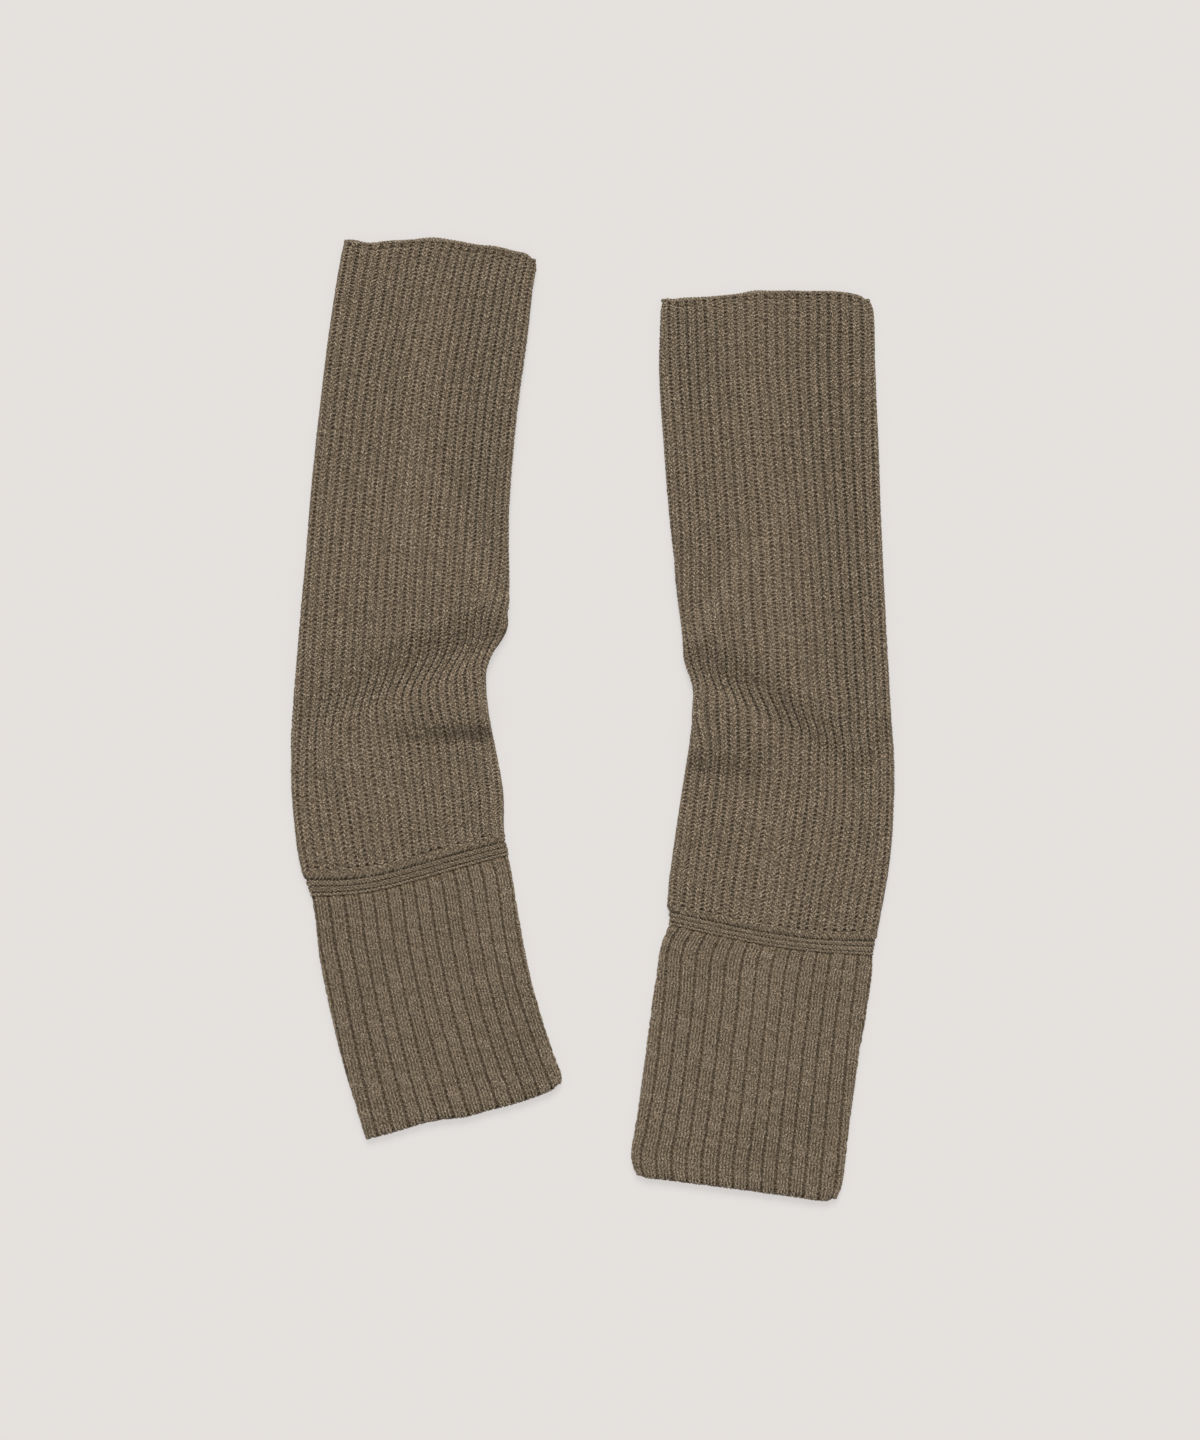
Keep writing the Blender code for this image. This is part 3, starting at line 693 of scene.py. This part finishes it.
def knit_rows(tube, stretch, stitch, rows, yarn, rng):
    """Paths of one stretch's rows: points, ways out, radii and tones with some painted light."""
    ribs = tube.ribs_of(stretch)
    first_rib = math.floor((-WRAP - ribs.first) / ribs.pitch) - 1
    last_rib = math.ceil((1 + WRAP - ribs.first) / ribs.pitch) + 1
    count = last_rib - first_rib
    knots = np.array(stitch)
    across = (np.arange(count)[:, None] + first_rib + knots[:, 0]).ravel()
    down, high, thick = np.tile(knots[:, 1:].T, count)
    share = ribs.first + across * ribs.pitch
    keep = (share > -WRAP) & (share < 1 + WRAP)
    across, down, high, thick = (a[keep] for a in (across, down, high, thick))
    number = len(rows)
    rib = np.floor(across).astype(int) - first_rib

    # Each stitch strays a little by itself, and each rib drifts slowly against its neighbours.
    single = rng.normal(0, 1, (number, count, 3))
    slow = soft_noise(rng, number, count, DRIFT_REACH)
    single *= stretch.stray
    down = down + STRAY_DOWN * single[:, rib, 0] + DRIFT_DOWN * slow[:, rib]
    across = across + STRAY_ACROSS * single[:, rib, 1]
    thick = thick * np.clip(1 + STRAY_THICK * single[:, rib, 2], 0.7, 1.3)
    index, places = row_table(rows)
    s = np.interp(np.arange(number)[:, None] + down, index, places)
    share, s = settled(tube, stretch, ribs.first + across * ribs.pitch, s, yarn)
    high = tube.dished(high, share, s)
    place, normal = tube.skin(share, s, high - stretch.depth, stretch.upper_wall)
    arm = np.floor((across - stretch.first_arm) * stretch.arms).astype(int)
    arm -= arm.min()
    tone = np.take_along_axis(rng.normal(0, 1, (number, arm.max() + 1)), arm, 1)
    tone = tone + POINT_TONE * rng.normal(0, 1, tone.shape)
    # Painted light on the yarn where its grooves are pulled open, painted shade where pressed
    # deeper.
    tone = tone + OPEN_PAINTED_LIGHT * tube.opened(share, s)
    return place, normal, yarn * thick, tone


def shell(tube, stretch, profile, rows):
    """The closed wall of a stretch under its stitches: rings of its outer side and its slit."""
    start, end = tube.ends(stretch)
    first = start + (END_GAP if stretch.name == "rim" else SEAM / 2)
    last = end - (END_GAP if stretch.name == "cuff" else SEAM / 2)
    steps = BAND_RINGS if stretch.name == "band" else max(4, round((last - first) / RING_GAP))
    s = np.linspace(first, last, steps + 1)[:, None]
    wide = tube.width(s)
    fold, inset = FOLD_REACH / wide, SLIT_INSET / wide
    left, right = tube.edge(s, stretch.upper_wall)
    p = -left + (1 + left + right) * np.linspace(0, 1, TOP_COLUMNS)
    ribs = tube.ribs_of(stretch)

    def height(across, share):
        return relief(profile, across) if profile else band_height(tube, stretch, share, s)

    across = tube.rib_place(ribs, p, s)
    high = tube.dished(height(across, p), p, s)
    top, _ = tube.skin(p, s, high - stretch.depth, stretch.upper_wall)
    u = fold + (1 - 2 * fold) * np.linspace(1, 0, UNDER_COLUMNS + 2)[1:-1]
    # The lower layer's end stands out where it peeks from behind the upper one.
    out = (last - s) / (last - first) if stretch.name == "rim" else 0
    x, y, _, _ = tube.ground(u, s - out * edge_wave(tube.form.peek, u))
    under_across = tube.rib_place(ribs, u, s)
    dent = np.clip(UNDER_TOUCH - height(under_across, u), 0, UNDER_DEEPEST)
    under = np.stack([x, y, REST + UNDER_KEPT * dent], -1)
    outer = np.concatenate([top, under], 1)
    if rows is None:
        index = ridge_place(tube, stretch, s)
    else:
        index = np.interp(s, *reversed(row_table(rows)))
    stitch_u = np.concatenate([across, under_across], 1)
    upper_u = inset + (1 - 2 * inset) * np.linspace(0, 1, SLIT_COLUMNS)
    x, y, _, _ = tube.ground(upper_u, s)
    upper = np.stack([x, y, tube.ceiling(upper_u, x, y)], -1)
    x, y, _, _ = tube.ground(1 - upper_u, s - out * edge_wave(tube.form.peek, 1 - upper_u))
    lower = np.stack([x, y, np.full(x.shape, UNDER_WALL)], -1)
    inner = np.concatenate([upper, lower], 1)
    return outer, inner, np.stack([stitch_u, index + 0.0 * stitch_u], -1)


def laid_across(tube, stretch, shares, s, high, yarn, thick, rng):
    """Paths of strands from their shares across, distances along and heights."""
    shares, s, high, thick = np.broadcast_arrays(shares, s, high, thick)
    shares, s = settled(tube, stretch, shares, s, yarn)
    place, normal = tube.skin(shares, s, high - stretch.depth, stretch.upper_wall)
    tone = rng.normal(0, 1, (len(s), 1)) + POINT_TONE * rng.normal(0, 1, s.shape)
    return place, normal, yarn * thick, tone


def bars(tube, stretch, pitch, s_from, s_to, slant, yarn, rng):
    """A row of short slanted strands, side by side across the tube."""
    wide = float(tube.width((s_from + s_to) / 2))
    count = round((1 + 2 * WRAP) * wide / pitch)
    at = -WRAP + (1 + 2 * WRAP) * (np.arange(count)[:, None] + 0.5) / count
    at = at + rng.normal(0, 0.18, (count, 1)) * pitch / wide
    t = np.array(BAR_AT)
    s = s_from + (s_to - s_from) * t + rng.normal(0, 0.45, (count, 1))
    shares = at + (0.5 - t) * slant * rng.normal(1, 0.2, (count, 1)) / wide
    high = band_height(tube, stretch, shares, s) + np.array(BAR_HIGH)
    thick = np.array(BAR_THICK) * rng.normal(1, 0.10, (count, 1))
    return laid_across(tube, stretch, shares, s, high, yarn, thick, rng)


def waves(tube, stretch, pitch, s_at, swing, shift, yarn, high, rng):
    """Strands that run across the tube in small waves, one for each of s_at."""
    s_at = np.array(s_at, float)[:, None]
    wide = float(tube.width(s_at.mean()))
    count = round((1 + 2 * WRAP) * wide / pitch)
    along = np.arange(count * WAVE_STEPS + 1) / WAVE_STEPS
    shares = -WRAP + (1 + 2 * WRAP) * along / count
    lines = len(s_at)
    stray = rng.normal(0, 1, (lines, count + 1))
    stray = np.stack([np.interp(along, np.arange(count + 1), line) for line in stray])
    turn = 2 * math.pi * (along + 0.18 * stray + np.array(shift, float)[:, None])
    s = s_at + swing * (1 + 0.15 * stray) * np.sin(turn) + 0.12 * stray
    if high is None:
        high = band_height(tube, stretch, shares, s) + 0.15
    rise = high + 0.25 * np.sin(turn + 1.2) + 0.05 * stray
    thick = 1 + 0.12 * np.cos(turn)
    return laid_across(tube, stretch, shares, s, rise, yarn, thick, rng)


def band_stitches(tube, stretch, side, rng):
    """The strands of a band's three ridges."""
    start, end = tube.ends(stretch)
    long = end - start
    first, second, third = BAND_VALLEYS
    rows = np.array([start - LEG_FOOT, start + 1.75])
    knitted = [each[1:] for each in knit_rows(tube, stretch, LEG_STITCH, rows, LEG_YARN, rng)]
    foot = start + first * long - 0.2
    slanted = bars(
        tube, stretch, BAR_PITCH, foot - 4.0, foot, BAND_SLANT[side], BAND_YARN * 0.95, rng
    )
    lines = [start + long * (third + 0.5 * (1 - third))]
    for top, bottom in ((first, second), (second, third)):
        lines += [start + long * (top + (bottom - top) * at) for at in (0.29, 0.71)]
    shifts = (0.55, 0, 0.12, 0.3, 0.42)
    ridges = waves(tube, stretch, WAVE_PITCH, lines, 0.62, shifts, BAND_YARN, None, rng)
    return {"stitches": knitted, "bars": slanted, "ridges": ridges}


def rim_stitches(tube, stretch, rng):
    """The strands of the rim's fine upright stitches and of its two layers' bound edges."""
    rows = np.array(RIM_ROWS)
    knitted = knit_rows(tube, stretch, LEG_STITCH, rows, RIM_YARN * 1.25, rng)
    edge = waves(tube, stretch, RIM_PITCH, (0.45, 1.15), 0.3, (0, 0.45), RIM_YARN, 0.85, rng)
    # The lower layer's edge.
    wide = float(tube.width(0))
    count = round(wide / RIM_PITCH)
    along = np.arange(count * WAVE_STEPS + 1) / WAVE_STEPS
    u = (0.012 + 0.976 * along / count)[None]
    turn = 2 * math.pi * along
    x, y, way_x, way_y = tube.ground(u, -edge_wave(tube.form.peek, u) + 0.2 * np.sin(turn))
    z = 1.3 + 0.2 * np.cos(turn) + 0.0 * u
    normal = unit(np.stack([-way_y, way_x, 0.5 + 0.0 * u], -1))
    radius = RIM_YARN * (1.1 + 0.12 * np.cos(turn)) + 0.0 * u
    lower = (np.stack([x, y, z], -1), normal, radius, 1.6 * rng.normal(0, 1, u.shape))
    return {"stitches": knitted, "edge": edge, "lower_edge": lower}


def wall_faces(n_rings, n_outer, n_inner):
    """The faces of the wall's two sides, and their corners laid out flat in a square."""
    # For each side its columns, where in u it begins, how wide it is, and its corners' steps.
    sides = (
        (n_outer, 0.01, 0.70, ((0, 0), (0, 1), (1, 1), (1, 0))),
        (n_inner, 0.73, 0.25, ((0, 0), (1, 0), (1, 1), (0, 1))),
    )
    faces, flat = [], []
    first = 0
    for count, left, wide, steps in sides:
        ring, column = np.meshgrid(np.arange(n_rings - 1), np.arange(count), indexing="ij")
        corners, laid = [], []
        for u_step, v_step in steps:
            corners.append((first + (ring + v_step) * count + (column + u_step) % count).ravel())
            u = left + wide * (column + u_step) / count
            v = 0.01 + 0.98 * (ring + v_step) / (n_rings - 1)
            laid.append(np.stack([u, v], -1).reshape(-1, 2))
        faces.append(np.stack(corners, -1))
        flat.append(np.stack(laid, 1).reshape(-1, 2))
        first += n_rings * count
    return np.concatenate(faces), np.concatenate(flat)


def closed_cloth(tube, stretch, profile, rows, name, material):
    """The shell of a stretch as a mesh, with its two sides joined at both ends."""
    outer, inner, stitches = shell(tube, stretch, profile, rows)
    n_rings, n_outer, _ = outer.shape
    n_inner = inner.shape[1]
    verts = np.concatenate([outer.reshape(-1, 3), inner.reshape(-1, 3)])
    faces, flat = wall_faces(n_rings, n_outer, n_inner)
    stitch_uv = np.concatenate([stitches.reshape(-1, 2), np.zeros((n_rings * n_inner, 2))])
    maps = {"stitch": stitch_uv[faces.ravel()], "OFBake": flat}
    me = mesh_object(f"{name}_cloth", verts, faces, material, maps)
    bm = bmesh.new()
    bm.from_mesh(me.data)
    bm.verts.ensure_lookup_table()
    for ring in (0, n_rings - 1):
        edges = []
        for first, count in ((0, n_outer), (n_rings * n_outer, n_inner)):
            loop = [bm.verts[first + ring * count + column] for column in range(count)]
            edges += [bm.edges.get(pair) for pair in zip(loop, loop[1:] + loop[:1])]
        bmesh.ops.bridge_loops(bm, edges=edges)
    bmesh.ops.recalc_face_normals(bm, faces=bm.faces)
    bm.to_mesh(me.data)
    bm.free()
    return me


def dress(tube, stretch, side, materials, rng):
    """Makes a stretch's cloth and the stitches on it."""
    name = f"{side}_{stretch.name}"
    yarn = materials["cuff_yarn" if stretch.name == "cuff" else "yarn"]
    profile = {"leg": LEG_RIB, "rim": LEG_RIB, "cuff": CUFF_RIB}.get(stretch.name)
    rows = None
    if stretch.name in ("leg", "rim"):
        start, end = tube.place["rim_end"] - LEG_TOP, tube.place["leg_end"] - LEG_FOOT
        rows = row_places(LEG_ROWS, start, end)
    elif stretch.name == "cuff":
        rows = row_places(CUFF_ROWS, *tube.ends(stretch))
    me = closed_cloth(tube, stretch, profile, rows, name, materials[stretch.name])
    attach(me, "root")
    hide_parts(name)
    if stretch.name == "leg":
        strands = knit_rows(tube, stretch, LEG_STITCH, rows, LEG_YARN, rng)
        half = len(rows) // 2
        made = {
            "stitches_upper": [each[:half] for each in strands],
            "stitches_lower": [each[half:] for each in strands],
        }
    elif stretch.name == "cuff":
        made = {"stitches": knit_rows(tube, stretch, cuff_stitch(), rows, CUFF_YARN, rng)}
    elif stretch.name == "band":
        made = band_stitches(tube, stretch, side, rng)
    else:
        made = rim_stitches(tube, stretch, rng)
    pieces = [strand_mesh(f"{name}_{part}", *strands, yarn) for part, strands in made.items()]
    for piece in pieces:
        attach(piece, "root")
    return me, pieces


def declare(tube, stretch):
    """Works out the round that a stretch of the tube was knitted to, and does nothing with it."""
    start, end = tube.ends(stretch)
    round_it = 2 * float(tube.width((end + start) / 2)) + 2


def main():
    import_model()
    rng = np.random.default_rng(7)
    leg_cloth = wool_cloth("leg_cloth", 1.0, LEG_HOLE_SHADE)
    materials = {
        "yarn": wool_yarn("wool_yarn", 3.4, 1.4, 0.145),
        "cuff_yarn": wool_yarn("cuff_yarn", 3.9, 1.10, 0.082),
        "leg": leg_cloth,
        "rim": leg_cloth,
        "band": wool_cloth("band_cloth", 2.0, BAND_HOLE_SHADE),
        "cuff": wool_cloth("cuff_cloth", 2.0, CUFF_HOLE_SHADE),
    }
    floor_and_light()
    for side, form in FORMS.items():
        tube = Tube(form)
        for stretch in STRETCHES:
            cloth, pieces = dress(tube, stretch, side, materials, rng)
            if stretch.name == "rim":
                continue
            declare(tube, stretch)


# --- Materials ---

# Painted shade on the cloth in a hole or groove between the strands, as an oval in the stitch
# map: its middle and half its size, in ribs across and rows down, and how dark the painted shade
# is.
HoleShade = namedtuple("HoleShade", "across down half_across half_down dark")
LEG_HOLE_SHADE = (
    HoleShade(0, 0, 0.17, 9, 0.42),
    HoleShade(0, 0.06, 0.18, 0.34, 0.36),
    HoleShade(0.5, -0.42, 0.09, 0.24, 0.2),
)
BAND_HOLE_SHADE = (HoleShade(0, 0, 9, 0.17, 0.7),)
CUFF_HOLE_SHADE = (
    HoleShade(0.04, 0, 0.13, 9, 0.38),
    HoleShade(0.355, 0, 0.05, 9, 0.35),
    HoleShade(0.765, 0, 0.05, 9, 0.35),
    HoleShade(0.04, 0.05, 0.07, 0.22, 0.65),
    HoleShade(0.04, 0.55, 0.07, 0.22, 0.65),
    HoleShade(0.355, -0.15, 0.06, 0.28, 0.5),
    HoleShade(0.56, 0, 0.06, 9, 0.35),
    HoleShade(0.765, 0.35, 0.06, 0.28, 0.5),
)


class Wiring:
    """Adds nodes to a material's tree, with fixed values or links as their inputs."""

    def __init__(self, name):
        self.material = bpy.data.materials.new(name)
        self.material.use_nodes = True
        self.tree = self.material.node_tree
        self.shader = self.tree.nodes["Principled BSDF"]

    def add(self, kind, inputs=(), **settings):
        made = self.tree.nodes.new("ShaderNode" + kind)
        for key, value in settings.items():
            setattr(made, key, value)
        for key, value in dict(inputs).items():
            self.put(made.inputs[key], value)
        return made

    def put(self, socket, value):
        if isinstance(value, bpy.types.NodeSocket):
            self.tree.links.new(value, socket)
        else:
            socket.default_value = value

    def surface(self, inputs):
        """Gives the shader's own inputs their values or links."""
        for key, value in inputs.items():
            self.put(self.shader.inputs[key], value)

    def math(self, operation, *values):
        made = self.add("Math", dict(enumerate(values)), operation=operation)
        return made.outputs[0]

    def ramp(self, value, *stops):
        made = self.add("ValToRGB", {"Fac": value})
        ramp = made.color_ramp
        while len(ramp.elements) < len(stops):
            ramp.elements.new(0.5)
        for element, (at, colour) in zip(ramp.elements, stops):
            element.position = at
            element.color = (*colour, 1.0)
        return made.outputs["Color"]

    def bump(self, height, strength, distance):
        inputs = {"Height": height, "Strength": strength, "Distance": distance}
        self.surface({"Normal": self.add("Bump", inputs).outputs["Normal"]})

    def roughen(self, value, least):
        """Roughness from least, where the value is 0, to 1."""
        rough = self.add("MapRange", {"Value": value, "To Min": least, "To Max": 1.0})
        self.surface({"Roughness": rough.outputs["Result"]})


TONE_REACH = 0.010  # how far a tone of 1 shifts the flecks
# The colour of the painted shade in the cloth's holes and grooves.
PAINTED_SHADE = (0.018, 0.012, 0.007)
DARK_WOOL = (0.062, 0.0425, 0.025)
MID_WOOL = (0.178, 0.133, 0.085)
LIGHT_WOOL = (0.45, 0.354, 0.246)
CLOTH_DARK, CLOTH_LIGHT = (0.080, 0.057, 0.034), (0.31, 0.238, 0.158)


def wool_yarn(name, flecks_round, flecks_a_mm, soft):
    """Heathered yarn: flecks round its upper side, flecks along a mm, and how softly they end."""
    w = Wiring(name)
    w.surface({"Sheen Weight": 0.2, "Sheen Roughness": 0.5, "Specular IOR Level": 0.2})
    uv = w.add("UVMap", uv_map="yarn").outputs["UV"]

    def noise(scale, turn, detail, roughness):
        mapped = w.add("Mapping", {"Vector": uv, "Scale": scale, "Rotation": (0, 0, turn)})
        vector = mapped.outputs["Vector"]
        inputs = {"Vector": vector, "Scale": 1.0, "Detail": detail, "Roughness": roughness}
        return w.add("TexNoise", inputs, noise_dimensions="2D").outputs["Fac"]

    flecks = noise((flecks_round, flecks_a_mm, 1), 0, 1, 0.5)
    # Tone: each stitch's random tone, plus painted light and shade where grooves open or close.
    tone = w.add("Attribute", attribute_name="tone").outputs["Fac"]
    value = w.math("MULTIPLY_ADD", tone, TONE_REACH, flecks)
    colour = w.ramp(value, (0.5 - soft, DARK_WOOL), (0.5, MID_WOOL), (0.5 + soft, LIGHT_WOOL))
    w.surface({"Base Color": colour})
    # The fibres lie along the yarn, a little twisted.
    fine = noise((14, 2, 1), 0.05, 2, 0.6)
    w.bump(fine, 0.6, 0.00022)
    w.roughen(fine, 0.82)
    return w.material


def wool_cloth(name, columns, hole_shades):
    """The cloth under the yarn, with so many columns of stitches to a rib."""
    w = Wiring(name)
    w.surface({"Specular IOR Level": 0.1})
    where = w.add("TexCoord").outputs["Object"]
    noise = w.add("TexNoise", {"Vector": where, "Scale": 1100.0, "Detail": 1.0}).outputs["Fac"]
    uv = w.add("UVMap", uv_map="stitch").outputs["UV"]
    split = w.add("SeparateXYZ", {"Vector": uv})
    # The rows' V shapes, in height, and a little in colour: painted shade in the rows' troughs.
    slanted = w.math("PINGPONG", w.math("MULTIPLY", split.outputs["X"], columns), 0.5)
    row = w.math("MULTIPLY_ADD", slanted, -1.2, split.outputs["Y"])
    row = w.math("SINE", w.math("MULTIPLY", row, 2 * math.pi))
    w.bump(w.math("MULTIPLY_ADD", row, 0.5, noise), 0.7, 0.0005)
    w.roughen(noise, 0.85)
    # The row term is painted light on the crests and painted shade in the troughs.
    light = w.math("MULTIPLY_ADD", row, 0.05, noise)
    colour = w.ramp(light, (0.34, CLOTH_DARK), (0.66, CLOTH_LIGHT))
    dark = None
    # Painted shade: the cloth is darkened in each hole and groove between the strands.
    for hole in hole_shades:
        parts = []
        spans = ("X", hole.across, hole.half_across), ("Y", hole.down, hole.half_down)
        for axis, at, half in spans:
            near = w.math("FRACT", w.math("ADD", split.outputs[axis], 0.5 - at))
            near = w.math("DIVIDE", w.math("SUBTRACT", near, 0.5), half)
            parts.append(w.math("MULTIPLY", near, near))
        away = w.math("ADD", *parts)
        made = w.add(
            "MapRange",
            {"Value": away, "From Min": 0.25, "From Max": 1.2, "To Min": hole.dark, "To Max": 0.0},
            interpolation_type="SMOOTHSTEP",
        ).outputs["Result"]
        dark = made if dark is None else w.math("MAXIMUM", dark, made)
    # In a mix of colours, inputs 6 and 7 are A and B and output 2 the result; B is painted shade.
    mix = w.add("Mix", data_type="RGBA")
    w.put(mix.inputs["Factor"], dark)
    w.put(mix.inputs[6], colour)
    w.put(mix.inputs[7], (*PAINTED_SHADE, 1.0))
    w.surface({"Base Color": mix.outputs[2]})
    return w.material


FLOOR_HALF, FLOOR_Z = 60, -0.0002
LENS, SENSOR = 85, 36
PICTURE_HEIGHT = 0.864  # how much the camera sees along y, in m, at the height SEEN_AT
SEEN_AT = 0.005
EYE_X, EYE_Y = 0.0045, 0.0006


def floor_and_light():
    """The pale floor, the world's light and the sun, and the camera straight above."""
    scene = bpy.context.scene
    scene.view_settings.view_transform = "Standard"
    me = bpy.data.meshes.new("floor")
    signs = ((-1, -1), (1, -1), (1, 1), (-1, 1))
    corners = [(x * FLOOR_HALF, y * FLOOR_HALF, FLOOR_Z) for x, y in signs]
    me.from_pydata(corners, [], [(0, 1, 2, 3)])
    floor = linked("floor", me)
    w = Wiring("pale_floor")
    w.surface({"Base Color": (0.20, 0.19, 0.18, 1), "Roughness": 0.9})
    w.surface({"Emission Color": (0.575, 0.552, 0.539, 1), "Emission Strength": 1.0})
    me.materials.append(w.material)
    world = bpy.data.worlds.new("world")
    scene.world = world
    world.use_nodes = True
    sky = world.node_tree.nodes["Background"].inputs
    sky["Color"].default_value = (1, 1, 1, 1)
    sky["Strength"].default_value = 0.45
    lamp = bpy.data.lights.new("key", "SUN")
    lamp.angle = math.radians(30)
    lamp.energy = 2.45
    key = linked("key", lamp)
    key.location = (0.0, 1.45, 1.35)
    key.rotation_euler = (-key.location).to_track_quat("-Z", "Y").to_euler()
    camera = bpy.data.cameras.new("camera")
    camera.lens = LENS
    camera.sensor_fit = "VERTICAL"
    camera.sensor_height = SENSOR
    camera.clip_end = 200
    eye = linked("camera", camera)
    eye.location = (EYE_X, EYE_Y, PICTURE_HEIGHT * LENS / SENSOR + SEEN_AT)
    scene.camera = eye


main()
